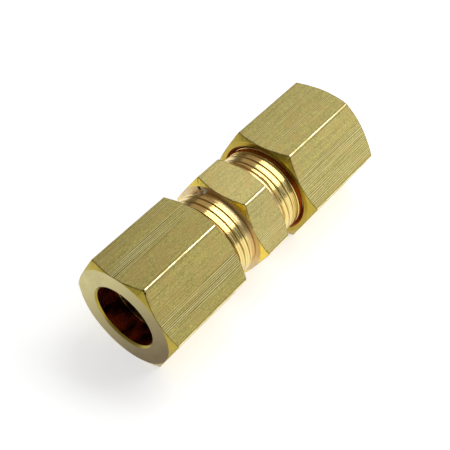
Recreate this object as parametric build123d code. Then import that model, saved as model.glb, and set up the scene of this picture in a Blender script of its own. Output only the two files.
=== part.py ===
from build123d import *
import math
import os

# Straight compression union for 12.7 mm (1/2 in) OD tube, in millimetres.
# X runs along the tube, the origin is on the axis at the middle of the union, and +Z is up: both nuts
# rest on a flat. One side is modelled with +X pointing out of its socket, and the other side is the same
# side turned half a turn about Z, which keeps both threads right-handed.

INCH = 25.4

# Tube
TUBE_RADIUS = INCH / 4
TUBE_CLEARANCE = 0.075
FERRULE_BORE_CLEARANCE = 0.05

# Thread, 60 degree grooves between broad flat crests
THREAD_RADIUS = 11 / 32 * INCH
PITCH = INCH / 18
CREST_SHARE = 0.74
ROOT_SHARE = 0.07
FLANK_CLEARANCE = 0.05
CREST_CLEARANCE = 0.08
ROOT_CLEARANCE = 0.1
THREAD_HALF_ANGLE = 30.0
RELIEF_DEPTH = 0.08

# Union body
BODY_HEX_ACROSS_FLATS = 19.05
BODY_HEX_LENGTH = 7.3
BODY_HEX_TURN = 5.1
BODY_HEX_CHAMFER_INSET = -0.05
BODY_HALF_LENGTH = 16.7
BODY_RELIEF_WIDTH = 1.45
BODY_END_CHAMFER = 0.95
SEAT_MOUTH_WALL = 0.55
SEAT_HALF_ANGLE = 12.0
TUBE_STOP_DEPTH = 10.3
WATERWAY_RADIUS = 5.16

# Nuts
NUT_ACROSS_FLATS = 13 / 16 * INCH
NUT_LENGTH = 25 / 32 * INCH
NUT_CHAMFER_INSET = 0.02
NUT_LAND_LENGTH = 4.07
NUT_COUNTERSINK_MARGIN = 0.72
NUT_BORE_CHAMFER = 0.35
NUT_SEAT_HALF_ANGLE = 45.0
NUT_RELIEF_WIDTH = 1.75
NUT_RELIEF_MARGIN = 0.15
HEX_CHAMFER_ANGLE = 30.0
HEX_EDGE_RADIUS = 0.3

# Ferrules
FERRULE_LENGTH = 3 / 8 * INCH
FERRULE_WALL = 0.95
FERRULE_TIP_WALL = 0.4
FERRULE_BACK_WALL = 0.5

# Assembly: how far the nut can still be tightened from rest, and what is left then
TIGHTEN_TURNS = 0.25
SEAT_GAP = 0.25
NUT_SEAT_GAP = 0.1

# Worked out from the above
TUBE_BORE_RADIUS = TUBE_RADIUS + TUBE_CLEARANCE
FERRULE_BORE_RADIUS = TUBE_RADIUS + FERRULE_BORE_CLEARANCE
FERRULE_RADIUS = FERRULE_BORE_RADIUS + FERRULE_WALL
FERRULE_TIP_RADIUS = FERRULE_BORE_RADIUS + FERRULE_TIP_WALL
FERRULE_BACK_RADIUS = FERRULE_BORE_RADIUS + FERRULE_BACK_WALL
FLANK = math.tan(math.radians(THREAD_HALF_ANGLE))
ROOT_RADIUS = THREAD_RADIUS - (1 - CREST_SHARE - ROOT_SHARE) * PITCH / 2 / FLANK
NUT_MINOR_RADIUS = ROOT_RADIUS + ROOT_CLEARANCE
NUT_MAJOR_RADIUS = THREAD_RADIUS + CREST_CLEARANCE
BODY_RELIEF_RADIUS = ROOT_RADIUS - RELIEF_DEPTH
NUT_RELIEF_RADIUS = NUT_MAJOR_RADIUS + RELIEF_DEPTH
SEAT_SLOPE = math.tan(math.radians(SEAT_HALF_ANGLE))
NUT_SEAT_SLOPE = math.tan(math.radians(NUT_SEAT_HALF_ANGLE))
SEAT_MOUTH_RADIUS = THREAD_RADIUS - BODY_END_CHAMFER - SEAT_MOUTH_WALL
SEAT_START = BODY_HALF_LENGTH - (SEAT_MOUTH_RADIUS - TUBE_BORE_RADIUS) / SEAT_SLOPE
TUBE_STOP = BODY_HALF_LENGTH - TUBE_STOP_DEPTH
BODY_HEX_FACE = BODY_HEX_LENGTH / 2
THREAD_START = BODY_HEX_FACE + BODY_RELIEF_WIDTH / 2

TIGHTEN_TRAVEL = TIGHTEN_TURNS * PITCH
SEAT_CONTACT = BODY_HALF_LENGTH - (SEAT_MOUTH_RADIUS - FERRULE_TIP_RADIUS) / SEAT_SLOPE
FERRULE_TIP = SEAT_CONTACT + SEAT_GAP + TIGHTEN_TRAVEL
FERRULE_BACK = FERRULE_TIP + FERRULE_LENGTH
NUT_SEAT_END = FERRULE_BACK + NUT_SEAT_GAP + (FERRULE_BACK_RADIUS - TUBE_BORE_RADIUS) / NUT_SEAT_SLOPE
NUT_SEAT_START = NUT_SEAT_END - (NUT_MINOR_RADIUS - TUBE_BORE_RADIUS) / NUT_SEAT_SLOPE
NUT_OUTER_FACE = NUT_SEAT_END + NUT_LAND_LENGTH
NUT_INNER_FACE = NUT_OUTER_FACE - NUT_LENGTH
NUT_RELIEF_START = BODY_HALF_LENGTH + TIGHTEN_TRAVEL + NUT_RELIEF_MARGIN
NUT_COUNTERSINK_RADIUS = THREAD_RADIUS + NUT_COUNTERSINK_MARGIN

CUT_MARGIN = 1.0
GROOVE_OVERRUN = 0.05
HALF_TURN = Rot(0, 0, 180)


def turned(points):
    """A solid turned about X from its (x, radius) outline."""
    outline = make_face(Polyline(*[(x, r, 0) for x, r in points], close=True))
    return revolve(outline, axis=Axis.X)


def hex_bar(across_flats, length, start, chamfer_radius, turn=0.0):
    """A hexagonal bar along X with rounded edges and both ends turned down at the corners."""
    corner_radius = across_flats / math.sqrt(3)
    outline = fillet(RegularPolygon(corner_radius, 6).vertices(), HEX_EDGE_RADIUS)
    bar = extrude(Plane.YZ.offset(start) * (Rot(0, 0, turn) * outline), amount=length)
    over = corner_radius + CUT_MARGIN
    depth = (over - chamfer_radius) * math.tan(math.radians(HEX_CHAMFER_ANGLE))
    end = start + length
    envelope = turned([
        (start, 0),
        (start, chamfer_radius),
        (start + depth, over),
        (end - depth, over),
        (end, chamfer_radius),
        (end, 0),
    ])
    return bar & envelope


def one_turn(outline):
    """One right-handed turn about X of a closed (axial, radius) outline, starting at the origin's +Z side."""
    edges = [Helix(PITCH, PITCH, r, center=(x, 0, 0), direction=(1, 0, 0)).edge() for x, r in outline]
    following = edges[1:] + edges[:1]
    flanks = [Face.make_surface_from_curves(edge, other) for edge, other in zip(edges, following)]
    ends = [make_face(Polyline(*[edge @ t for edge in edges], close=True)).face() for t in (0, 1)]
    return Solid(Shell(flanks + ends))


def cut_thread(blank, start, reach, turn, outline):
    """The blank with a groove cut turn by turn from the start to past the reach, turned about X first."""
    cutter = one_turn(outline)
    step = PITCH if reach > start else -PITCH
    turns = math.ceil(abs(reach - start) / PITCH) + 1
    behind = 0 if reach > start else 1
    for count in range(turns):
        blank = blank - Rot(turn, 0, 0) * Pos(start + (count + behind) * step, 0, 0) * cutter
    return blank


def groove(tip_radius, tip_width, opening_radius):
    """The outline of a 60 degree groove, from its flat tip to its opening, which lies past the blank."""
    opening_width = tip_width + 2 * abs(opening_radius - tip_radius) * FLANK
    half = [(tip_radius, tip_width / 2), (opening_radius, opening_width / 2)]
    return [(-w, r) for r, w in half] + [(w, r) for r, w in reversed(half)]


def with_male_thread(spigot):
    """Cuts from the relief beside the hex to past the spigot's end."""
    outline = groove(ROOT_RADIUS, ROOT_SHARE * PITCH, THREAD_RADIUS + GROOVE_OVERRUN)
    return cut_thread(spigot, THREAD_START, BODY_HALF_LENGTH, 0, outline)


def with_female_thread(blank):
    """Cuts from the nut's relief to past its inner face, turned so that it is in step with the male ridges."""
    tip_width = CREST_SHARE * PITCH + 2 * FLANK_CLEARANCE - 2 * CREST_CLEARANCE * FLANK
    outline = groove(NUT_MAJOR_RADIUS, tip_width, NUT_MINOR_RADIUS - GROOVE_OVERRUN)
    start = NUT_RELIEF_START + NUT_RELIEF_WIDTH / 2
    male_ridge = THREAD_START + PITCH / 2
    turn = 360 * (start - male_ridge) / PITCH
    return cut_thread(blank, start, NUT_INNER_FACE, turn, outline)


def union_body():
    hexagon = hex_bar(
        BODY_HEX_ACROSS_FLATS,
        BODY_HEX_LENGTH,
        -BODY_HEX_FACE,
        BODY_HEX_ACROSS_FLATS / 2 - BODY_HEX_CHAMFER_INSET,
        BODY_HEX_TURN,
    )
    relief_end = BODY_HEX_FACE + BODY_RELIEF_WIDTH
    spigot = turned([
        (0, 0),
        (0, BODY_RELIEF_RADIUS),
        (relief_end - (THREAD_RADIUS - BODY_RELIEF_RADIUS) * FLANK, BODY_RELIEF_RADIUS),
        (relief_end, THREAD_RADIUS),
        (BODY_HALF_LENGTH - BODY_END_CHAMFER, THREAD_RADIUS),
        (BODY_HALF_LENGTH, THREAD_RADIUS - BODY_END_CHAMFER),
        (BODY_HALF_LENGTH, 0),
    ])
    socket = turned([
        (0, 0),
        (0, WATERWAY_RADIUS),
        (TUBE_STOP, WATERWAY_RADIUS),
        (TUBE_STOP, TUBE_BORE_RADIUS),
        (SEAT_START, TUBE_BORE_RADIUS),
        (BODY_HALF_LENGTH, SEAT_MOUTH_RADIUS),
        (BODY_HALF_LENGTH + CUT_MARGIN, SEAT_MOUTH_RADIUS),
        (BODY_HALF_LENGTH + CUT_MARGIN, 0),
    ])
    threaded = with_male_thread(spigot)
    body = hexagon + threaded + HALF_TURN * threaded
    return body - socket - HALF_TURN * socket


def nut():
    hexagon = hex_bar(
        NUT_ACROSS_FLATS,
        NUT_LENGTH,
        NUT_INNER_FACE,
        NUT_ACROSS_FLATS / 2 - NUT_CHAMFER_INSET,
    )
    relief_end = NUT_RELIEF_START + NUT_RELIEF_WIDTH
    run_out = (NUT_RELIEF_RADIUS - NUT_MINOR_RADIUS) * FLANK
    countersink_depth = NUT_COUNTERSINK_RADIUS - NUT_MINOR_RADIUS
    inside = turned([
        (NUT_INNER_FACE - CUT_MARGIN, 0),
        (NUT_INNER_FACE - CUT_MARGIN, NUT_COUNTERSINK_RADIUS),
        (NUT_INNER_FACE, NUT_COUNTERSINK_RADIUS),
        (NUT_INNER_FACE + countersink_depth, NUT_MINOR_RADIUS),
        (NUT_RELIEF_START - run_out, NUT_MINOR_RADIUS),
        (NUT_RELIEF_START, NUT_RELIEF_RADIUS),
        (relief_end, NUT_RELIEF_RADIUS),
        (relief_end + run_out, NUT_MINOR_RADIUS),
        (NUT_SEAT_START, NUT_MINOR_RADIUS),
        (NUT_SEAT_END, TUBE_BORE_RADIUS),
        (NUT_OUTER_FACE - NUT_BORE_CHAMFER, TUBE_BORE_RADIUS),
        (NUT_OUTER_FACE, TUBE_BORE_RADIUS + NUT_BORE_CHAMFER),
        (NUT_OUTER_FACE + CUT_MARGIN, TUBE_BORE_RADIUS + NUT_BORE_CHAMFER),
        (NUT_OUTER_FACE + CUT_MARGIN, 0),
    ])
    return with_female_thread(hexagon - inside)


def ferrule():
    nose = (FERRULE_RADIUS - FERRULE_TIP_RADIUS) / SEAT_SLOPE
    back = (FERRULE_RADIUS - FERRULE_BACK_RADIUS) / NUT_SEAT_SLOPE
    return turned([
        (FERRULE_TIP, FERRULE_BORE_RADIUS),
        (FERRULE_TIP, FERRULE_TIP_RADIUS),
        (FERRULE_TIP + nose, FERRULE_RADIUS),
        (FERRULE_BACK - back, FERRULE_RADIUS),
        (FERRULE_BACK, FERRULE_BACK_RADIUS),
        (FERRULE_BACK, FERRULE_BORE_RADIUS),
    ])


def main():
    one_nut = nut()
    one_ferrule = ferrule()
    pieces = {
        "union_body": union_body(),
        "far_nut": one_nut,
        "near_nut": HALF_TURN * one_nut,
        "far_ferrule": one_ferrule,
        "near_ferrule": HALF_TURN * one_ferrule,
    }
    os.makedirs("parts", exist_ok=True)
    for name, shape in pieces.items():
        export_step(shape, f"parts/{name}.step")
    print("nut faces", round(NUT_INNER_FACE, 3), round(NUT_OUTER_FACE, 3))
    print("ferrule", round(FERRULE_TIP, 3), round(FERRULE_BACK, 3), "seat end", round(NUT_SEAT_END, 3))


main()
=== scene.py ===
"""The finished look of a straight compression union for 12.7 mm tube: a body, two ferrules and two nuts.

X runs along the tube and +Z is up. A place round the axis is an angle from +Z towards +Y. The far end lies
towards +X; the near end is the far end turned half a turn about Z, which keeps both threads right-handed.
"""
import math

import bmesh
import bpy
import numpy as np
from mathutils import Matrix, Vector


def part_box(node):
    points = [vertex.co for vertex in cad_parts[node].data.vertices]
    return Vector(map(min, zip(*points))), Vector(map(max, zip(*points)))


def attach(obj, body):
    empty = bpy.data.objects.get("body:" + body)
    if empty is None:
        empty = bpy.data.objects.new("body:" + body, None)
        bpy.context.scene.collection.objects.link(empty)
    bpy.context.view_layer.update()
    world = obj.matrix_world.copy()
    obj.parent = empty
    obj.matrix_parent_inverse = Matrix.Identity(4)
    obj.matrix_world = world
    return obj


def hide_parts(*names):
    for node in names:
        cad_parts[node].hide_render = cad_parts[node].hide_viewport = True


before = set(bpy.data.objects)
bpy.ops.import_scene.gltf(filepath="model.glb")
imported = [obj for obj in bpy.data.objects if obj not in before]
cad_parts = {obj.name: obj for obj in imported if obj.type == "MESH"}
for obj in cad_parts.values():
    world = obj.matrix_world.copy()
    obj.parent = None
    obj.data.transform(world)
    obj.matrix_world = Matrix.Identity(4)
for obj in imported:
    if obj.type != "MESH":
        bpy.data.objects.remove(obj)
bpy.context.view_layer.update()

MM = 0.001
INCH = 25.4 * MM

# Places read from the frame
NUT_LOW, NUT_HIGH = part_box("far_nut")
FERRULE_LOW, FERRULE_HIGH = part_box("far_ferrule")
FLOOR_LEVEL = NUT_LOW.z
NUT_INNER_FACE = NUT_LOW.x
NUT_OUTER_FACE = NUT_HIGH.x
NUT_APOTHEM = NUT_HIGH.z
FERRULE_TIP = FERRULE_LOW.x
FERRULE_BACK = FERRULE_HIGH.x
FERRULE_RADIUS = FERRULE_HIGH.z
BODY_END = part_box("union_body")[1].x

# Tube
TUBE_RADIUS = INCH / 4
TUBE_BORE_RADIUS = TUBE_RADIUS + 0.075 * MM

# Thread
THREAD_RADIUS = 11 / 32 * INCH
PITCH = INCH / 18
CREST_SHARE = 0.74
ROOT_SHARE = 0.07
FLANK_CLEARANCE = 0.05 * MM
CREST_CLEARANCE = 0.08 * MM
ROOT_CLEARANCE = 0.1 * MM
RELIEF_DEPTH = 0.08 * MM
FLANK = math.tan(math.radians(30))
ROOT_RADIUS = THREAD_RADIUS - (1 - CREST_SHARE - ROOT_SHARE) * PITCH / 2 / FLANK
THREAD_EDGE_ROUND = 0.03 * MM

# Body
BODY_APOTHEM = 9.525 * MM
BODY_HEX_FACE = 3.65 * MM
BODY_HEX_TURN = math.radians(-5.1)
BODY_CHAMFER_RADIUS = BODY_APOTHEM + 0.05 * MM
BODY_RELIEF_WIDTH = 1.45 * MM
BODY_RELIEF_RADIUS = ROOT_RADIUS - RELIEF_DEPTH
BODY_RELIEF_END = BODY_HEX_FACE + BODY_RELIEF_WIDTH
BODY_THREAD_START = BODY_RELIEF_END - (THREAD_RADIUS - BODY_RELIEF_RADIUS) * FLANK
BODY_END_CHAMFER = 0.95 * MM
SEAT_MOUTH_WALL = 0.55 * MM
SEAT_MOUTH_RADIUS = THREAD_RADIUS - BODY_END_CHAMFER - SEAT_MOUTH_WALL
SEAT_SLOPE = math.tan(math.radians(12))
SEAT_START = BODY_END - (SEAT_MOUTH_RADIUS - TUBE_BORE_RADIUS) / SEAT_SLOPE
TUBE_STOP = BODY_END - 10.3 * MM
WATERWAY_RADIUS = 5.16 * MM
MALE_GROOVE = BODY_HEX_FACE + BODY_RELIEF_WIDTH / 2

# Nuts
NUT_CHAMFER_RADIUS = NUT_APOTHEM - 0.02 * MM
NUT_MINOR_RADIUS = ROOT_RADIUS + ROOT_CLEARANCE
NUT_MAJOR_RADIUS = THREAD_RADIUS + CREST_CLEARANCE
NUT_RELIEF_RADIUS = NUT_MAJOR_RADIUS + RELIEF_DEPTH
NUT_COUNTERSINK_RADIUS = THREAD_RADIUS + 0.72 * MM
NUT_BORE_CHAMFER = 0.35 * MM
NUT_LAND_LENGTH = 4.07 * MM
NUT_SEAT_END = NUT_OUTER_FACE - NUT_LAND_LENGTH
NUT_SEAT_START = NUT_SEAT_END - (NUT_MINOR_RADIUS - TUBE_BORE_RADIUS)
TIGHTEN_TRAVEL = PITCH / 4
NUT_RELIEF_MARGIN = 0.15 * MM
NUT_RELIEF_START = BODY_END + TIGHTEN_TRAVEL + NUT_RELIEF_MARGIN
NUT_RELIEF_END = NUT_RELIEF_START + 1.75 * MM
NUT_RELIEF_RUN_OUT = (NUT_RELIEF_RADIUS - NUT_MINOR_RADIUS) * FLANK

# Ferrules
FERRULE_BORE_RADIUS = TUBE_RADIUS + 0.05 * MM
FERRULE_TIP_RADIUS = FERRULE_BORE_RADIUS + 0.4 * MM
FERRULE_BACK_RADIUS = FERRULE_BORE_RADIUS + 0.5 * MM

# Hexagonal bar: where its end faces are, its size, and how far it is turned from resting on a flat
NUT_BAR = {
    "low": NUT_INNER_FACE,
    "high": NUT_OUTER_FACE,
    "apothem": NUT_APOTHEM,
    "chamfer_radius": NUT_CHAMFER_RADIUS,
    "turn": 0.0,
}
BODY_BAR = {
    "low": -BODY_HEX_FACE,
    "high": BODY_HEX_FACE,
    "apothem": BODY_APOTHEM,
    "chamfer_radius": BODY_CHAMFER_RADIUS,
    "turn": BODY_HEX_TURN,
}
HALF_FLAT = math.pi / 6
HEX_CHAMFER_SLOPE = math.tan(math.radians(30))
HEX_CORNER_ROUND = 0.3 * MM
EDGE_BREAK = 0.03 * MM
EDGE_ROUND = 0.07 * MM
EDGE_WANDER = 0.02 * MM
FULL_WANDER_DEPTH = 0.3 * MM
BODY_EDGE_SEED = 3
NUT_EDGE_SEEDS = {"near": 11, "far": 12}

# Fineness of the meshes
COLUMNS_PER_FLAT = 40
COLUMNS = 6 * COLUMNS_PER_FLAT
COLUMN_ANGLE = 2 * math.pi / COLUMNS
CORNER_COLUMNS = 3
HOLD = 0.08 * MM
HOLD_ANGLE = math.radians(0.25)
MOST_HOLD_SHARE = 0.3
MOST_ROUND_SHARE = 0.42
ROUND_SHARES = (0.0, 0.25, 0.5, 0.75, 1.0)
ROWS_PER_PITCH = 16
ROW_CROWDING = 0.6
MERGE = 0.002 * MM
SNAP = 0.012 * MM
SHARP_ANGLE = math.radians(38)
HALF_TURN = Matrix.Rotation(math.pi, 4, "Z")


class Value:
    """An output socket. Its arithmetic adds Math nodes to the socket's own tree."""

    def __init__(self, graph, socket):
        self.graph = graph
        self.socket = socket

    def math(self, operation, *others):
        return self.graph.math(operation, self, *others)

    def __add__(self, other):
        return self.math("ADD", other)

    def __radd__(self, other):
        return self.graph.math("ADD", other, self)

    def __sub__(self, other):
        return self.math("SUBTRACT", other)

    def __rsub__(self, other):
        return self.graph.math("SUBTRACT", other, self)

    def __mul__(self, other):
        return self.math("MULTIPLY", other)

    def __rmul__(self, other):
        return self.graph.math("MULTIPLY", other, self)

    def __truediv__(self, other):
        return self.math("DIVIDE", other)

    def __rtruediv__(self, other):
        return self.graph.math("DIVIDE", other, self)

    def __pow__(self, other):
        return self.math("POWER", other)

    def __neg__(self):
        return self.math("MULTIPLY", -1.0)

    def __abs__(self):
        return self.math("ABSOLUTE")

    def __gt__(self, other):
        return self.math("GREATER_THAN", other)

    def at_least(self, other):
        return self.math("MAXIMUM", other)

    def at_most(self, other):
        return self.math("MINIMUM", other)

    def within(self, low, high):
        return self.at_least(low).at_most(high)

    def above(self, level, gain):
        """How far the value is above the level, times the gain, and at most 1."""
        return ((self - level) * gain).within(0.0, 1.0)

    def swing(self, amount):
        """A noise as a change about nothing, up to half the amount either way."""
        return (self - 0.5) * amount

    def split(self):
        """The x, y and z of a vector."""
        return [self.graph.node("ShaderNodeSeparateXYZ", None, {0: self}, axis) for axis in range(3)]


class Graph:
    """A node tree that is built by asking for nodes."""

    def __init__(self, tree):
        self.tree = tree

    def node(self, kind, settings=None, values=None, output=0):
        """Adds a node, its settings first and then its sockets' values or links, and gives one output."""
        made = self.tree.nodes.new(kind)
        for name, setting in (settings or {}).items():
            setattr(made, name, setting)
        for key, value in (values or {}).items():
            if isinstance(value, Value):
                self.tree.links.new(value.socket, made.inputs[key])
            else:
                made.inputs[key].default_value = value
        return Value(self, made.outputs[output]) if len(made.outputs) else None

    def math(self, operation, *values):
        return self.node("ShaderNodeMath", {"operation": operation}, dict(enumerate(values)))

    def mix(self, factor, first, second):
        return self.node("ShaderNodeMix", {"data_type": "RGBA"}, {0: factor, 6: first, 7: second}, 2)

    def combine(self, x, y, z):
        return self.node("ShaderNodeCombineXYZ", None, {0: x, 1: y, 2: z})

    def distance(self, place, point):
        return self.node("ShaderNodeVectorMath", {"operation": "DISTANCE"}, {0: place, 1: point}, 1)

    def grain(self, place, grain):
        """Noise over a surface, stretched along the bar as the grain says."""
        along, across, detail, roughness = grain
        stretch = {0: place, 1: (along, across, across)}
        stretched = self.node("ShaderNodeVectorMath", {"operation": "MULTIPLY"}, stretch)
        values = {"Vector": stretched, "Scale": 1.0, "Detail": detail, "Roughness": roughness}
        return self.node("ShaderNodeTexNoise", None, values)

    def rings(self, distance, cut):
        """Noise that changes along one length only, as turning marks do."""
        marks, detail = cut
        values = {"W": distance, "Scale": marks, "Detail": detail}
        return self.node("ShaderNodeTexNoise", {"noise_dimensions": "1D"}, values)


# Finishes

def colour(red, green, blue):
    return (red, green, blue, 1.0)


# Grains: cells to the metre along the bar and across it, the detail and how rough that detail is
LINE_DRIFT = (24.0, 900.0, 2.0, 0.5)
LINE_STRENGTH = (60.0, 2300.0, 2.0, 0.7)
FINE_LINES = (70.0, 5600.0, 2.0, 0.7)
BROAD_LINES = (30.0, 500.0, 2.0, 0.6)
FLAT_SPECKLE = (2700.0, 4200.0, 2.0, 0.8)
FLAT_CLOUD = (330.0, 330.0, 3.0, 0.6)
CORNER_WEAR = (420.0, 1800.0, 2.0, 0.7)
FACE_CLOUD = (420.0, 420.0, 3.0, 0.5)
FACE_SPECKLE = (5200.0, 5200.0, 2.0, 0.7)
TURNED_CLOUD = (900.0, 260.0, 3.0, 0.6)
BORE_CLOUD = (260.0, 420.0, 3.0, 0.5)
RAGGED_EDGE = (2600.0, 2600.0, 2.0, 0.5)

# Cuts of the lathe: marks to the metre and their detail
FACING_CUT = (9000.0, 3.0)
THREADING_CUT = (3600.0, 3.0)
RELIEF_CUT = (2300.0, 2.0)
REAMING_CUT = (6000.0, 3.0)

# Heights that the finishes stand up, in millimetres
LINE_HEIGHT = 0.004
FINE_CUT_HEIGHT = 0.004
NUT_THREAD_HEIGHT = 0.003
BODY_THREAD_HEIGHT = 0.035

# Die lines on the flats, and how far they wander, where one spacing is a whole turn in radians
LINE_SPACING = 0.36 * MM
LINE_WANDER = 9.0
STRENGTH_OUTSIDE_BANDS = 0.14

# How far burnish and its painted highlight, painted shadow lines, painted edge shadows, painted groove
# shade, the relief's tone and the root shadow reach from the edges that they follow
BURNISH_HIGHLIGHT_START = 0.01 * MM
BURNISH_HIGHLIGHT_FADE = 0.03 * MM
SHADOW_LINE_SETBACK = 0.09 * MM
SHADOW_LINE_HALF_WIDTH = 0.06 * MM
LEAST_EDGE_SHADOW = 0.03 * MM
FACE_EDGE_SHADOW_START = 0.04 * MM
GROOVE_FADE = 0.24 * MM
RELIEF_FADE = 0.3 * MM
ROOT_FADE = 0.12 * MM

# Painted shade on the end faces, darker towards -Y and -Z: how much of it there is on the axis, and how far
# it takes to come and go
LOW_SHADE_ON_AXIS = 0.44
LOW_SHADE_FADE = 23.0 * MM

# An orange-brown patch on the threads, at one angle round the bar
PATCH_MIDDLE = math.radians(8.0)
PATCH_HALF_WIDTH = math.radians(22.0)

# Tones of what lies over the base colours
SCORED = colour(1.0, 0.93, 0.46)
SCORE_SHADOW = colour(0.2, 0.15, 0.03)
BROWNED = colour(0.60, 0.42, 0.15)
# Burnish on the hexagon corners, pale enough to be a painted highlight
BURNISH_HIGHLIGHT = colour(0.94, 0.84, 0.5)
# Painted shadow line on the flats beside the rounded corners
SHADOW_LINE = colour(0.2, 0.14, 0.03)
# Painted shadows along the edges between the flats and the turned chamfers
FLAT_EDGE_SHADOW = colour(0.13, 0.08, 0.02)
FACE_EDGE_SHADOW = colour(0.15, 0.09, 0.02)
# Painted shade, dark brown, for the low side of the end faces
PAINTED_LOW_SHADE = colour(0.12, 0.06, 0.01)
RELIEF_TONE = colour(0.92, 0.70, 0.45)
ROOT_SHADOW = colour(0.2, 0.1, 0.03)
CUT_SHADOW = colour(0.3, 0.16, 0.05)
ORANGE_PATCH = colour(0.62, 0.34, 0.09)
# Painted shade for the thread grooves of the body and the nuts
GROOVE_SHADE = colour(0.40, 0.23, 0.05)
NUT_GROOVE_SHADE = colour(0.2, 0.04, 0.02)
PREVIEW_TONE = colour(0.62, 0.5, 0.2)
# Dark and pale spots for the body's shoulder and relief
DARK_SPOT = colour(0.02, 0.015, 0.015)
PALE_SPOT = colour(0.98, 0.95, 0.88)
CHIP = colour(0.06, 0.03, 0.01)

# Marks: the middle and the radius in millimetres, and the colour
CORNER_CHIPS = (
    ((-28.5, -5.9, 10.25), 0.3, CHIP),
    ((-28.6, -6.3, 9.9), 0.26, CHIP),
    ((-28.7, -6.7, 9.3), 0.2, CHIP),
)
SHOULDER_MARKS = (
    ((-3.65, 3.8, 8.3), 0.5, DARK_SPOT),
    ((-3.65, 2.6, 8.2), 0.45, PALE_SPOT),
    ((-3.65, 3.1, 8.6), 0.3, PALE_SPOT),
)
RELIEF_MARKS = (
    ((-4.25, 4.45, 7.15), 0.5, DARK_SPOT),
    ((-3.9, 2.4, 8.1), 0.45, PALE_SPOT),
    ((-4.2, 3.0, 7.9), 0.35, PALE_SPOT),
)

# Bands of thick die lines: the middle angle and half the width in degrees, and how strong the lines are
NEAR_BANDS = ((3.6, 7.0, 0.86), (24.0, 4.0, 0.35), (-70.0, 8.0, 0.86))
FAR_BANDS = ((-10.0, 1.5, 0.7), (12.0, 7.0, 0.3), (-68.0, 16.0, 0.6))
BODY_BANDS = ((-80.0, 6.0, 0.4),)


def brass(name, paint):
    """A brass finish. The paint function gives its colour, its roughness and its height in millimetres."""
    material = bpy.data.materials.new(name)
    material.use_nodes = True
    material.node_tree.nodes.clear()
    graph = Graph(material.node_tree)
    place = graph.node("ShaderNodeTexCoord", None, None, "Object")
    tint, roughness, height = paint(graph, place)
    normal = graph.node("ShaderNodeBump", None, {"Strength": 1.0, "Distance": MM, "Height": height})
    values = {"Base Color": tint, "Metallic": 1.0, "Roughness": roughness, "Normal": normal}
    shader = graph.node("ShaderNodeBsdfPrincipled", None, values)
    graph.node("ShaderNodeOutputMaterial", None, {"Surface": shader})
    material.diffuse_color = PREVIEW_TONE
    return material


def shaded(graph, shade, base, darkest, lightest):
    """The base colour, from its darkest share where the shade is 0 to its lightest where the shade is 1."""
    dark = colour(*(darkest * part for part in base))
    light = colour(*(min(1.0, lightest * part) for part in base))
    return graph.mix(shade, dark, light)


def marked(graph, place, tint, marks):
    """The tint with ragged spots on it."""
    ragged = graph.grain(place, RAGGED_EDGE).swing(2.4)
    for middle, size, shade in marks:
        away = graph.distance(place, tuple(part * MM for part in middle)) / (size * MM)
        tint = graph.mix(((1.0 - away + ragged) * 2.5).within(0.0, 1.0), tint, shade)
    return tint


def polar(y, z):
    """A point's distance from the axis and its angle round it."""
    return (y * y + z * z) ** 0.5, y.math("ARCTAN2", z)


def hex_depth(angle, radius, bar):
    """How far a point is below the flat that it belongs to."""
    from_middle = (angle - bar["turn"]).math("PINGPONG", HALF_FLAT)
    return bar["apothem"] - radius * from_middle.math("COSINE")


def flat_half_width(apothem):
    """Half the width of a hexagon's flat, without its rounded corners."""
    return apothem * math.tan(HALF_FLAT) - HEX_CORNER_ROUND / math.tan(math.pi / 3)


def edge_shadow_width(speckle, cloud, blotches):
    """How wide the painted shadow at an edge is: thin, with ragged teeth and broader blotches."""
    teeth = (speckle - 0.4).at_least(0.0) * 0.45
    return LEAST_EDGE_SHADOW + (teeth + (cloud - 0.45).at_least(0.0) * blotches) * MM


def band_strength(angle, bands):
    """How strong the die lines are at an angle round the bar."""
    strength = STRENGTH_OUTSIDE_BANDS
    for middle, half_width, weight in bands:
        away = abs(angle - math.radians(middle)) / math.radians(half_width)
        strength = ((1.2 - away) * 4.0).within(0.0, 1.0) * weight + strength
    return strength


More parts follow.
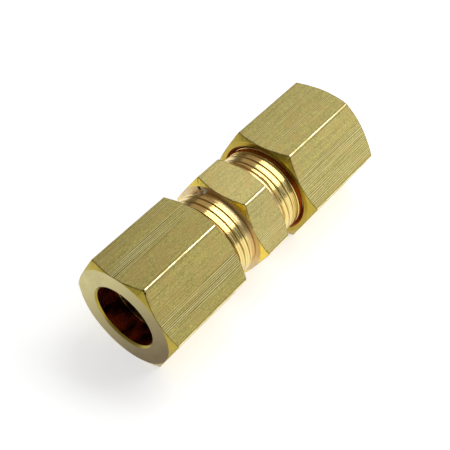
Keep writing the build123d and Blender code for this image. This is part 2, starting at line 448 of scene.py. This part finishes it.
def drawn_flat(name, bands, base, bar, marks=()):
    """Cold-drawn flats: lengthwise die lines, thick in the bands, over a mottled satin.

    The die burnishes the corners, which also carry a painted highlight, with a painted shadow line beside
    them, and a painted shadow follows the edge of the turned chamfer.
    """
    corner_start = math.hypot(bar["apothem"], flat_half_width(bar["apothem"]))
    middle = abs(bar["low"] + bar["high"]) / 2
    half_length = (bar["high"] - bar["low"]) / 2

    def paint(graph, place):
        x, y, z = place.split()
        radius, angle = polar(y, z)
        fine = graph.grain(place, FINE_LINES)
        broad = graph.grain(place, BROAD_LINES)
        speckle = graph.grain(place, FLAT_SPECKLE)
        cloud = graph.grain(place, FLAT_CLOUD)
        wear = ((graph.grain(place, CORNER_WEAR) - 0.36) * 5.0).within(0.3, 1.0)

        across = radius * (angle - bar["turn"]).math("WRAP", HALF_FLAT, -HALF_FLAT).math("SINE")
        drift = graph.grain(place, LINE_DRIFT) * LINE_WANDER
        comb = (across * (2 * math.pi / LINE_SPACING) + drift).math("SINE")
        strength = graph.grain(place, LINE_STRENGTH).above(0.38, 5.0) * band_strength(angle, bands)
        scored = comb.above(0.15, 2.5) * strength
        shadow = (-comb).above(0.15, 2.5) * strength

        tone = fine.swing(1.7) + broad.swing(0.3) + speckle.swing(2.8) + cloud.swing(0.7)
        tint = shaded(graph, (tone + 0.5).within(0.0, 1.0), base, 0.68, 1.26)
        tint = graph.mix(((cloud - 0.5) * 4.0).within(0.0, 0.4), tint, BROWNED)
        tint = graph.mix(scored, tint, SCORED)
        tint = graph.mix(shadow * 0.9, tint, SCORE_SHADOW)

        # Painted shadow line on the flat beside each rounded corner
        beside = (1.0 - abs(radius - (corner_start - SHADOW_LINE_SETBACK)) / SHADOW_LINE_HALF_WIDTH).within(0.0, 1.0)
        shadow_line = beside * ((broad - 0.38) * 6.0).within(0.25, 1.0)
        tint = graph.mix(shadow_line * 0.75, tint, SHADOW_LINE)
        # Burnished corners: lower roughness, and a painted highlight in the colour
        on_corner = ((radius - (corner_start - BURNISH_HIGHLIGHT_START)) / BURNISH_HIGHLIGHT_FADE).within(0.0, 1.0)
        burnish_and_highlight = on_corner * wear
        tint = graph.mix(burnish_and_highlight, tint, BURNISH_HIGHLIGHT)
        chamfered = (radius - bar["chamfer_radius"]) * HEX_CHAMFER_SLOPE
        to_chamfer = half_length - abs(abs(x) - middle) - chamfered
        # Painted shadow on the flat along its edge with the turned chamfer
        reach = (to_chamfer - EDGE_ROUND) / edge_shadow_width(speckle, cloud, 0.5)
        edge_shadow = (1.0 - reach).within(0.0, 1.0) * (radius > bar["chamfer_radius"])
        tint = graph.mix(edge_shadow * wear * 0.75, tint, FLAT_EDGE_SHADOW)

        roughness = 0.46 + speckle.swing(0.24) - scored * 0.14 - burnish_and_highlight * 0.25
        height = comb * strength * LINE_HEIGHT + fine.swing(0.005) + speckle.swing(0.004)
        return marked(graph, place, tint, marks), roughness.within(0.12, 0.6), height * (1.0 - burnish_and_highlight)
    return brass(name, paint)


def faced(name, base, roughness_level, bar, low_shade=0.0, marks=()):
    """Ends and chamfers cut on the lathe: fine rings about the axis, and a painted shadow along the edge of
    the flats.

    The low shade is how strongly painted shade darkens the face towards the side that it lies on.
    """
    def paint(graph, place):
        x, y, z = place.split()
        radius, angle = polar(y, z)
        rings = graph.rings(radius, FACING_CUT)
        cloud = graph.grain(place, FACE_CLOUD)
        speckle = graph.grain(place, FACE_SPECKLE)
        shade = (0.5 + rings.swing(0.9) + cloud.swing(0.9) + speckle.swing(0.6)).within(0.0, 1.0)
        tint = shaded(graph, shade, base, 0.74, 1.22)
        # Painted shade: the face darkens towards -Y and -Z of the piece, as much as the low shade says
        low = ((-y - z) / LOW_SHADE_FADE + LOW_SHADE_ON_AXIS + cloud.swing(0.4)).within(0.0, 1.0)
        tint = graph.mix(low * low_shade, tint, PAINTED_LOW_SHADE)
        # Painted shadow on the face or chamfer along its edge with the flats
        reach = (hex_depth(angle, radius, bar) - FACE_EDGE_SHADOW_START) / edge_shadow_width(speckle, cloud, 0.4)
        edge_shadow = (1.0 - reach).within(0.0, 1.0)
        tint = graph.mix(edge_shadow * (speckle * 2.0 - 0.4).within(0.2, 0.85), tint, FACE_EDGE_SHADOW)
        roughness = (roughness_level + rings.swing(0.16) + speckle.swing(0.1)).within(0.1, 0.7)
        return marked(graph, place, tint, marks), roughness, rings.swing(FINE_CUT_HEIGHT)
    return brass(name, paint)


def turned(name, base, groove_shade, roughness_level, mark_height, marks=()):
    """Threads and reliefs: feed marks round the bar, grooves darkened with painted shade and an
    orange-brown patch.

    A relief is paler than the crests, with coarser cuts and a dark root at the hexagon's shoulder.
    """
    def paint(graph, place):
        x, y, z = place.split()
        radius, angle = polar(y, z)
        out = abs(x)
        feed = graph.rings(x, THREADING_CUT)
        cloud = graph.grain(place, TURNED_CLOUD)
        shade = (0.5 + feed.swing(2.4) + cloud.swing(1.1)).within(0.0, 1.0)
        tint = shaded(graph, shade, base, 0.72, 1.16)
        # Painted shade: the tint darkens into the grooves below the crest radius
        groove = ((THREAD_RADIUS - radius) / GROOVE_FADE).within(0.0, 1.0) * (out > BODY_RELIEF_END)
        tint = graph.mix(groove * 0.85, tint, groove_shade)
        relief = ((BODY_RELIEF_END - out) / RELIEF_FADE).within(0.0, 1.0)
        tint = graph.mix(relief * 0.4, tint, RELIEF_TONE)
        root = (1.0 - (out - BODY_HEX_FACE - EDGE_ROUND) / ROOT_FADE).within(0.0, 1.0)
        tint = graph.mix(root * 0.7, tint, ROOT_SHADOW)
        cuts = ((0.44 - graph.rings(x, RELIEF_CUT)) * 14.0).within(0.0, 0.6) * relief
        tint = graph.mix(cuts, tint, CUT_SHADOW)
        # An orange-brown patch centred at one angle round the bar
        patch = (1.2 - abs(angle - PATCH_MIDDLE) / PATCH_HALF_WIDTH).within(0.0, 1.0)
        tint = graph.mix((patch * (cloud + 0.4)).within(0.0, 0.75), tint, ORANGE_PATCH)
        roughness = roughness_level + feed.swing(0.14) + cloud.swing(0.1) + groove * 0.1 + relief * 0.15
        return marked(graph, place, tint, marks), roughness.within(0.05, 0.6), feed.swing(mark_height)
    return brass(name, paint)


def bored(name, base, roughness_level):
    """Reamed insides and ferrules: fine marks round the axis, with clouds of cutting oil over them."""
    def paint(graph, place):
        marks = graph.rings(place.split()[0], REAMING_CUT)
        cloud = graph.grain(place, BORE_CLOUD)
        shade = (0.5 + marks.swing(1.2) + cloud.swing(4.0)).within(0.0, 1.0)
        tint = shaded(graph, shade, base, 0.12, 1.4)
        return tint, (roughness_level + marks.swing(0.15)).within(0.05, 0.6), marks.swing(FINE_CUT_HEIGHT)
    return brass(name, paint)


# A hexagonal piece's slots, in the order of its finishes
FLAT, CHAMFER, FACE, THREADED, BORE = range(5)


def make_finishes():
    """Each kind of piece's finishes, in the order of its slots."""
    # The nut ends carry painted shade on their low side
    nut_ends = faced("nut faced end", (0.56, 0.49, 0.21), 0.36, NUT_BAR, low_shade=0.85)
    nut_chamfers = faced("nut turned chamfer", (0.47, 0.36, 0.055), 0.3, NUT_BAR, marks=CORNER_CHIPS)
    # Painted shade: the nut's bore is darker, redder brass than its outside
    shaded_nut_insides = bored("nut inside in painted shade", (0.82, 0.15, 0.08), 0.28)
    # Painted shade: the nut's inner thread is near black-red, for the dark gap where the body's thread
    # enters the nut
    shaded_nut_threads = turned("nut thread in painted shade", (0.34, 0.09, 0.04), NUT_GROOVE_SHADE, 0.24, NUT_THREAD_HEIGHT)
    lathe_work = [nut_chamfers, nut_ends, shaded_nut_threads, shaded_nut_insides]
    near_flats = drawn_flat("near nut flats", NEAR_BANDS, (0.62, 0.52, 0.165), NUT_BAR, CORNER_CHIPS)
    far_flats = drawn_flat("far nut flats", FAR_BANDS, (0.64, 0.55, 0.19), NUT_BAR)
    body = [
        drawn_flat("body flats", BODY_BANDS, (0.61, 0.52, 0.20), BODY_BAR),
        faced("body turned chamfer", (0.84, 0.62, 0.1), 0.26, BODY_BAR),
        faced("body faced shoulder", (0.88, 0.68, 0.42), 0.4, BODY_BAR, marks=SHOULDER_MARKS),
        turned("body thread", (0.86, 0.68, 0.26), GROOVE_SHADE, 0.16, BODY_THREAD_HEIGHT, RELIEF_MARKS),
        # Painted shade: the body's bore is darker, redder brass than its outside
        bored("body inside in painted shade", (0.86, 0.34, 0.13), 0.3),
    ]
    ferrule = [bored("ferrule", (0.95, 0.6, 0.2), 0.3)]
    near = [near_flats, *lathe_work]
    far = [far_flats, *lathe_work]
    return {"body": body, "near": near, "far": far, "ferrule": ferrule}


# Shapes

EVEN_ANGLES = np.arange(COLUMNS) * 2 * math.pi / COLUMNS


def round_the_axis(x, radius, angle):
    """Points at those places along, from and round the axis."""
    x, radius, angle = np.broadcast_arrays(x, radius, angle)
    return np.stack([x, radius * np.sin(angle), radius * np.cos(angle)], axis=1)


def hex_angles(apothem):
    """Angles of the columns from one corner's middle on, and the radii there.

    The columns are crowded where the corners are rounded.
    """
    corner_radius = apothem / math.cos(HALF_FLAT)
    centre = corner_radius - HEX_CORNER_ROUND / math.sin(math.pi / 3)
    reach = HALF_FLAT - math.atan(flat_half_width(apothem) / apothem)
    flat_columns = COLUMNS_PER_FLAT // 2 - CORNER_COLUMNS - 1
    rounded_off = reach * np.arange(CORNER_COLUMNS + 1) / CORNER_COLUMNS
    flat = np.linspace(reach + HOLD_ANGLE, HALF_FLAT, flat_columns + 1)
    half = np.concatenate([rounded_off, flat])
    sextant = np.concatenate([half, 2 * HALF_FLAT - half[-2:0:-1]])
    from_corner = np.minimum(sextant, 2 * HALF_FLAT - sextant)
    on_flat = apothem / np.cos(HALF_FLAT - from_corner)
    in_round = np.maximum(HEX_CORNER_ROUND**2 - (centre * np.sin(from_corner)) ** 2, 0.0)
    on_round = centre * np.cos(from_corner) + np.sqrt(in_round)
    radii = np.where(from_corner < reach, on_round, on_flat)
    angles = np.concatenate([sextant + corner * math.pi / 3 for corner in range(6)])
    return angles, np.tile(radii, 6)


def path_rows(corners, slots):
    """Rows along straight spans between rounded (x, radius) corners, and the slot of each band."""
    count = max(np.size(value) for corner in corners for value in corner)
    places = np.array([[np.broadcast_to(value, count) for value in corner] for corner in corners])
    spans = np.diff(places, axis=0)
    lengths = np.linalg.norm(spans, axis=1)
    ways = spans / lengths[:, None]
    setbacks = np.minimum(EDGE_ROUND, MOST_ROUND_SHARE * np.minimum(lengths[:-1], lengths[1:]))
    none = np.zeros(count)
    rows = [places[0]]
    bands = []
    for index, way in enumerate(ways):
        low = setbacks[index - 1] if index else none
        high = lengths[index] - (setbacks[index] if index < len(setbacks) else none)
        hold = np.minimum(HOLD, MOST_HOLD_SHARE * (high - low))
        rows += [places[index] + way * along for along in (low + hold, (low + high) / 2, high - hold)]
        bands += [slots[index]] * 3
        if index < len(setbacks):
            corner = places[index + 1]
            before = corner - way * setbacks[index]
            after = corner + ways[index + 1] * setbacks[index]
            for share in ROUND_SHARES:
                rows.append((1 - share) ** 2 * before + 2 * share * (1 - share) * corner + share**2 * after)
                bands.append(slots[index] if share < 0.5 else slots[index + 1])
    rows.append(places[-1])
    bands.append(slots[-1])
    return rows, bands


def add_bands(bm, rings, slots):
    """Joins closed rings of points with bands of quads."""
    made = [[bm.verts.new(point) for point in ring] for ring in rings]
    for ring, following, slot in zip(made, made[1:], slots):
        for index, corner in enumerate(ring):
            beside = (index + 1) % len(ring)
            face = bm.faces.new((corner, ring[beside], following[beside], following[index]))
            face.material_index = slot


def add_turned(bm, corners, slots):
    """A band of turned surface along the corners, open at both ends."""
    rows, bands = path_rows(corners, slots)
    add_bands(bm, [round_the_axis(x, radius, EVEN_ANGLES) for x, radius in rows], bands)


def add_hexagon(bm, bar, low_radius, high_radius, low_slot, seed):
    """A hexagonal bar's outside with both end faces, each open inside its radius.

    The edge between a flat and the turned chamfer wanders a little, as a cut edge does.
    """
    angles, radii = hex_angles(bar["apothem"])
    angles = angles + HALF_FLAT + bar["turn"]
    wander = np.random.default_rng(seed).normal(0.0, EDGE_WANDER, (2, COLUMNS))
    edge = np.minimum(bar["chamfer_radius"], radii - EDGE_BREAK)
    depth = (radii - edge) * HEX_CHAMFER_SLOPE
    ragged = np.clip(depth / FULL_WANDER_DEPTH, 0.0, 1.0)
    low_depth, high_depth = depth + ragged * wander
    low = bar["low"]
    high = bar["high"]
    corners = [
        (low, low_radius),
        (low, edge),
        (low + low_depth, radii),
        (high - high_depth, radii),
        (high, edge),
        (high, high_radius),
    ]
    rows, bands = path_rows(corners, [low_slot, CHAMFER, FLAT, CHAMFER, FACE])
    rings = [round_the_axis(x, radius, angles) for x, radius in rows]
    even = (np.round(angles[0] / COLUMN_ANGLE) + np.arange(COLUMNS)) * COLUMN_ANGLE
    rings[0] = round_the_axis(low, low_radius, even)
    rings[-1] = round_the_axis(high, high_radius, even)
    add_bands(bm, rings, bands)


THREAD_INPUTS = {
    "Side": "which way the material lies: 1 for an outer thread, -1 for an inner one",
    "Crest Radius": "the radius that the grooves are cut from",
    "Groove Depth": "how deep they go",
    "Groove Floor": "half the width of their flat bottom",
    "Pitch": "from one groove to the next",
    "Groove Place": "where a groove crosses the +Z side",
    "First Turn": "where the first turn starts",
    "Turns": "how many turns are laid down before the ends trim them",
    "Low End": "where the blank starts",
    "High End": "where it ends",
    "Low Ramp": "below this place the blank runs off the crest",
    "Low Ramp Slope": "by this much for its length",
    "High Ramp": "above this place the blank runs off the crest",
    "High Ramp Slope": "by this much for its length",
}


def thread_nodes():
    """One helical turn of a strip, repeated along the axis, trimmed to the blank and cut to the groove."""
    tree = bpy.data.node_groups.new("helical thread", "GeometryNodeTree")
    tree.interface.new_socket("Geometry", in_out="OUTPUT", socket_type="NodeSocketGeometry")
    for name, meaning in THREAD_INPUTS.items():
        socket = tree.interface.new_socket(name, in_out="INPUT", socket_type="NodeSocketFloat")
        socket.description = meaning
    finish = tree.interface.new_socket("Finish", in_out="INPUT", socket_type="NodeSocketMaterial")
    finish.description = "the thread's material"
    graph = Graph(tree)
    size = {name: graph.node("NodeGroupInput", None, None, name) for name in [*THREAD_INPUTS, "Finish"]}
    pitch = size["Pitch"]

    grid = {"Size X": 1.0, "Size Y": 1.0, "Vertices X": ROWS_PER_PITCH + 1, "Vertices Y": COLUMNS + 1}
    strip = graph.node("GeometryNodeMeshGrid", None, grid)
    across, around = graph.node("GeometryNodeInputPosition").split()[:2]
    row = across + 0.5
    turn = around + 0.5
    crowded = row - ROW_CROWDING / (2 * math.pi) * (row * 2 * math.pi).math("SINE")
    along = size["First Turn"] + pitch * (crowded + turn)
    turn_angle = turn * 2 * math.pi
    wound = graph.combine(along, -turn_angle.math("SINE"), turn_angle.math("COSINE"))
    one_turn = graph.node("GeometryNodeSetPosition", None, {"Geometry": strip, "Position": wound})
    spacing = graph.combine(pitch, 0.0, 0.0)
    starts = graph.node("GeometryNodeMeshLine", None, {"Count": size["Turns"], "Offset": spacing})
    turns = graph.node("GeometryNodeInstanceOnPoints", None, {"Points": starts, "Instance": one_turn})
    whole = graph.node("GeometryNodeRealizeInstances", None, {"Geometry": turns})

    x, y, z = graph.node("GeometryNodeInputPosition").split()
    from_low = x - size["Low End"]
    low_snapped = size["Low End"] + from_low * (from_low > SNAP)
    to_high = size["High End"] - low_snapped
    trimmed = size["High End"] - to_high * (to_high > SNAP)
    turned_by = (-y).math("ARCTAN2", z) / (2 * math.pi)
    offset = (trimmed - size["Groove Place"]) / pitch - turned_by
    from_groove = pitch * abs(offset - offset.math("ROUND"))
    cut = size["Groove Depth"] - (from_groove - size["Groove Floor"]).at_least(0.0) / FLANK
    groove = cut.math("SMOOTH_MAX", 0.0, THREAD_EDGE_ROUND)
    low_ramp = (size["Low Ramp"] - trimmed) * size["Low Ramp Slope"]
    high_ramp = (trimmed - size["High Ramp"]) * size["High Ramp Slope"]
    radius = size["Crest Radius"] - size["Side"] * groove.at_least(low_ramp).at_least(high_ramp)
    surface = graph.combine(trimmed, y * radius, z * radius)
    shaped = graph.node("GeometryNodeSetPosition", None, {"Geometry": whole, "Position": surface})
    joined = graph.node("GeometryNodeMergeByDistance", None, {"Geometry": shaped, "Distance": MERGE})
    smooth = graph.node("GeometryNodeSetShadeSmooth", None, {"Geometry": joined, "Shade Smooth": True})
    dressed = graph.node("GeometryNodeSetMaterial", None, {"Geometry": smooth, "Material": size["Finish"]})
    graph.node("NodeGroupOutput", None, {0: dressed})
    return tree


def thread_mesh(tree, sizes, finish):
    """The plain mesh that the thread nodes make from these sizes."""
    pitches_before = math.floor((sizes["Low End"] - sizes["Groove Place"]) / PITCH) - 1
    first = sizes["Groove Place"] + PITCH * pitches_before
    turns = math.ceil((sizes["High End"] - first) / PITCH)
    sizes = {**sizes, "Pitch": PITCH, "First Turn": first, "Turns": turns}
    holder = bpy.data.objects.new("thread", bpy.data.meshes.new("thread"))
    bpy.context.scene.collection.objects.link(holder)
    modifier = holder.modifiers.new("thread", "NODES")
    modifier.node_group = tree
    sockets = {item.name: item.identifier for item in tree.interface.items_tree if item.in_out == "INPUT"}
    for name, size in sizes.items():
        modifier[sockets[name]] = float(size)
    modifier[sockets["Finish"]] = finish
    bpy.context.view_layer.update()
    mesh = bpy.data.meshes.new_from_object(holder.evaluated_get(bpy.context.evaluated_depsgraph_get()))
    holder.modifiers.remove(modifier)
    bpy.data.objects.remove(holder)
    return mesh


def add_mesh(bm, mesh, slot):
    known = len(bm.faces)
    bm.from_mesh(mesh)
    bm.faces.ensure_lookup_table()
    for face in bm.faces[known:]:
        face.material_index = slot


def make_piece(bm, node, finishes):
    """Closes the shape's seams, turns its faces outward and puts it in the CAD node's place."""
    name = f"{node}_finished"
    bmesh.ops.remove_doubles(bm, verts=bm.verts, dist=MERGE)
    bmesh.ops.dissolve_degenerate(bm, edges=bm.edges, dist=MERGE / 10)
    bmesh.ops.recalc_face_normals(bm, faces=bm.faces)
    for face in bm.faces:
        face.smooth = True
    mesh = bpy.data.meshes.new(name)
    bm.to_mesh(mesh)
    bm.free()
    mesh.set_sharp_from_angle(angle=SHARP_ANGLE)
    for finish in finishes:
        mesh.materials.append(finish)
    piece = bpy.data.objects.new(name, mesh)
    bpy.context.scene.collection.objects.link(piece)
    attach(piece, node)
    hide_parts(node)


def turn_to_side(bm, side):
    """Turns a shape made at the far end over to the near end, if it belongs there."""
    if side == "near":
        bmesh.ops.transform(bm, matrix=HALF_TURN, verts=bm.verts)


def add_spigot(bm, thread):
    """The far half of the body from its hexagon's shoulder, over the thread and back through the bore."""
    end_radius = THREAD_RADIUS - BODY_END_CHAMFER
    relief = [(BODY_HEX_FACE, BODY_RELIEF_RADIUS), (BODY_THREAD_START, BODY_RELIEF_RADIUS)]
    add_turned(bm, relief, [THREADED])
    add_mesh(bm, thread, THREADED)
    inside = [
        (BODY_END, end_radius),
        (BODY_END, SEAT_MOUTH_RADIUS),
        (SEAT_START, TUBE_BORE_RADIUS),
        (TUBE_STOP, TUBE_BORE_RADIUS),
        (TUBE_STOP, WATERWAY_RADIUS),
        (0.0, WATERWAY_RADIUS),
    ]
    add_turned(bm, inside, [FACE, BORE, BORE, BORE, BORE])


def make_body(tree, finishes):
    sizes = {
        "Side": 1.0,
        "Crest Radius": THREAD_RADIUS,
        "Groove Depth": THREAD_RADIUS - ROOT_RADIUS,
        "Groove Floor": ROOT_SHARE * PITCH / 2,
        "Groove Place": MALE_GROOVE,
        "Low End": BODY_THREAD_START,
        "High End": BODY_END,
        "Low Ramp": BODY_RELIEF_END,
        "Low Ramp Slope": 1 / FLANK,
        "High Ramp": BODY_END - BODY_END_CHAMFER,
        "High Ramp Slope": 1.0,
    }
    thread = thread_mesh(tree, sizes, finishes[THREADED])
    bm = bmesh.new()
    add_spigot(bm, thread)
    bmesh.ops.transform(bm, matrix=HALF_TURN, verts=bm.verts)
    add_spigot(bm, thread)
    add_hexagon(bm, BODY_BAR, BODY_RELIEF_RADIUS, BODY_RELIEF_RADIUS, FACE, BODY_EDGE_SEED)
    make_piece(bm, "union_body", finishes)


def make_nut(tree, finishes, side):
    sizes = {
        "Side": -1.0,
        "Crest Radius": NUT_MINOR_RADIUS,
        "Groove Depth": NUT_MAJOR_RADIUS - NUT_MINOR_RADIUS,
        "Groove Floor": CREST_SHARE * PITCH / 2 + FLANK_CLEARANCE - CREST_CLEARANCE * FLANK,
        "Groove Place": MALE_GROOVE + PITCH / 2,
        "Low End": NUT_INNER_FACE,
        "High End": NUT_RELIEF_START,
        "Low Ramp": NUT_INNER_FACE + NUT_COUNTERSINK_RADIUS - NUT_MINOR_RADIUS,
        "Low Ramp Slope": 1.0,
        "High Ramp": NUT_RELIEF_START - NUT_RELIEF_RUN_OUT,
        "High Ramp Slope": 1 / FLANK,
    }
    bore_mouth = TUBE_BORE_RADIUS + NUT_BORE_CHAMFER
    inside = [
        (NUT_RELIEF_START, NUT_RELIEF_RADIUS),
        (NUT_RELIEF_END, NUT_RELIEF_RADIUS),
        (NUT_RELIEF_END + NUT_RELIEF_RUN_OUT, NUT_MINOR_RADIUS),
        (NUT_SEAT_START, NUT_MINOR_RADIUS),
        (NUT_SEAT_END, TUBE_BORE_RADIUS),
        (NUT_OUTER_FACE - NUT_BORE_CHAMFER, TUBE_BORE_RADIUS),
        (NUT_OUTER_FACE, bore_mouth),
    ]
    bm = bmesh.new()
    add_mesh(bm, thread_mesh(tree, sizes, finishes[THREADED]), THREADED)
    add_turned(bm, inside, [BORE, BORE, BORE, BORE, BORE, CHAMFER])
    add_hexagon(bm, NUT_BAR, NUT_COUNTERSINK_RADIUS, bore_mouth, CHAMFER, NUT_EDGE_SEEDS[side])
    turn_to_side(bm, side)
    make_piece(bm, f"{side}_nut", finishes)


def make_ferrule(finishes, side):
    nose = (FERRULE_RADIUS - FERRULE_TIP_RADIUS) / SEAT_SLOPE
    back = FERRULE_RADIUS - FERRULE_BACK_RADIUS
    middle = (FERRULE_TIP + FERRULE_BACK) / 2
    outline = [
        (middle, FERRULE_BORE_RADIUS),
        (FERRULE_TIP, FERRULE_BORE_RADIUS),
        (FERRULE_TIP, FERRULE_TIP_RADIUS),
        (FERRULE_TIP + nose, FERRULE_RADIUS),
        (FERRULE_BACK - back, FERRULE_RADIUS),
        (FERRULE_BACK, FERRULE_BACK_RADIUS),
        (FERRULE_BACK, FERRULE_BORE_RADIUS),
        (middle, FERRULE_BORE_RADIUS),
    ]
    bm = bmesh.new()
    add_turned(bm, outline, [0] * (len(outline) - 1))
    turn_to_side(bm, side)
    make_piece(bm, f"{side}_ferrule", finishes)


# Studio

FLOOR_SIZE = 3.0
FLOOR_GLOW = 0.6
WORLD_GLOW = 0.2
SOFTBOX_DISTANCE = 0.5
CAMERA_PLACE = (-93.29 * MM, -88.76 * MM, 129.39 * MM)
CAMERA_RIGHT = (0.6333, -0.7696, -0.0812)
CAMERA_UP = (0.5891, 0.4114, 0.6954)
CAMERA_BACK = (-0.5018, -0.4883, 0.7139)
CAMERA_LENS = 78.66
SENSOR = 36.0
CLIP_START = 0.01
CLIP_END = 10.0


def make_floor():
    mesh = bpy.data.meshes.new("floor")
    half = FLOOR_SIZE / 2
    corners = [(x, y, FLOOR_LEVEL) for x, y in ((-half, -half), (half, -half), (half, half), (-half, half))]
    mesh.from_pydata(corners, [], [(0, 1, 2, 3)])
    material = bpy.data.materials.new("white paper")
    material.use_nodes = True
    shader = material.node_tree.nodes["Principled BSDF"]
    shader.inputs["Base Color"].default_value = colour(0.9, 0.9, 0.9)
    shader.inputs["Roughness"].default_value = 0.9
    shader.inputs["Emission Color"].default_value = colour(1.0, 1.0, 1.0)
    shader.inputs["Emission Strength"].default_value = FLOOR_GLOW
    mesh.materials.append(material)
    floor = bpy.data.objects.new("floor", mesh)
    bpy.context.scene.collection.objects.link(floor)


def add_aimed(name, data, right, up, back, place):
    """Puts a light or a camera in its place, looking away from its back."""
    holder = bpy.data.objects.new(name, data)
    matrix = Matrix.Identity(4)
    for row in range(3):
        matrix[row] = (right[row], up[row], back[row], place[row])
    holder.matrix_world = matrix
    bpy.context.scene.collection.objects.link(holder)
    return holder


def add_softbox(name, direction, width, height, power, upright):
    """A soft panel that faces the middle of the fitting from that direction."""
    light = bpy.data.lights.new(name, "AREA")
    light.shape = "RECTANGLE"
    light.size = width
    light.size_y = height
    light.energy = power
    way = np.array(direction) / np.linalg.norm(direction)
    side = np.cross(upright, way)
    side /= np.linalg.norm(side)
    add_aimed(name, light, side, np.cross(way, side), way, way * SOFTBOX_DISTANCE)


def make_studio():
    scene = bpy.context.scene
    scene.view_settings.view_transform = "Standard"
    world = bpy.data.worlds.new("studio")
    world.use_nodes = True
    background = world.node_tree.nodes["Background"]
    background.inputs["Color"].default_value = colour(1.0, 1.0, 1.0)
    background.inputs["Strength"].default_value = WORLD_GLOW
    scene.world = world
    add_softbox("key", (0.50, -0.275, 0.80), width=0.6, height=0.18, power=1.25, upright=(1, 0, 0))
    add_softbox("fill", (0.62, 0.46, 0.63), width=0.4, height=0.4, power=0.16, upright=(1, 0, 0))
    add_softbox("side", (0.84, -0.58, 0.16), width=0.3, height=0.3, power=0.2, upright=(0, 0, 1))
    camera = bpy.data.cameras.new("camera")
    camera.lens = CAMERA_LENS
    camera.sensor_width = SENSOR
    camera.clip_start = CLIP_START
    camera.clip_end = CLIP_END
    scene.camera = add_aimed("camera", camera, CAMERA_RIGHT, CAMERA_UP, CAMERA_BACK, CAMERA_PLACE)


def main():
    tree = thread_nodes()
    finishes = make_finishes()
    make_body(tree, finishes["body"])
    for side in ("near", "far"):
        make_nut(tree, finishes[side], side)
    for side in ("near", "far"):
        make_ferrule(finishes["ferrule"], side)
    make_floor()
    make_studio()


main()
